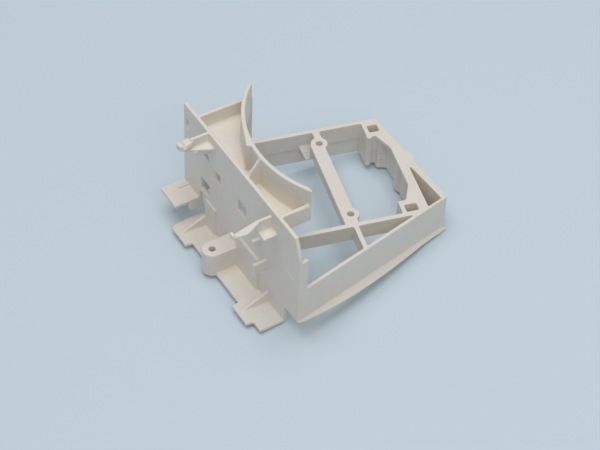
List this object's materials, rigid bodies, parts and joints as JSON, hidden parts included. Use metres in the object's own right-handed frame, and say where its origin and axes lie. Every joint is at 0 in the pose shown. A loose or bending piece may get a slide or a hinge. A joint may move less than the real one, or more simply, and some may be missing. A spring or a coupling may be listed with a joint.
{
  "type": "fan guide",
  "caption": "Moulded frame that carries a small axial fan beside an upright wall, with a curved air baffle, cable hooks, foot flanges and a screw bracket.",
  "frame": {"origin": "midway between the two fan screw bosses, on the face the fan lies against", "axes": "+X along the fan frame away from the main wall, +Y from the lower boss to the upper boss, +Z out of the fan face"},
  "size_m": [0.1278, 0.1051, 0.0735],
  "materials": {
    "plastic": "moulded, fine matt"
  },
  "bodies": {
    "root": {"fan_guide": "plastic"}
  },
  "joints": []
}
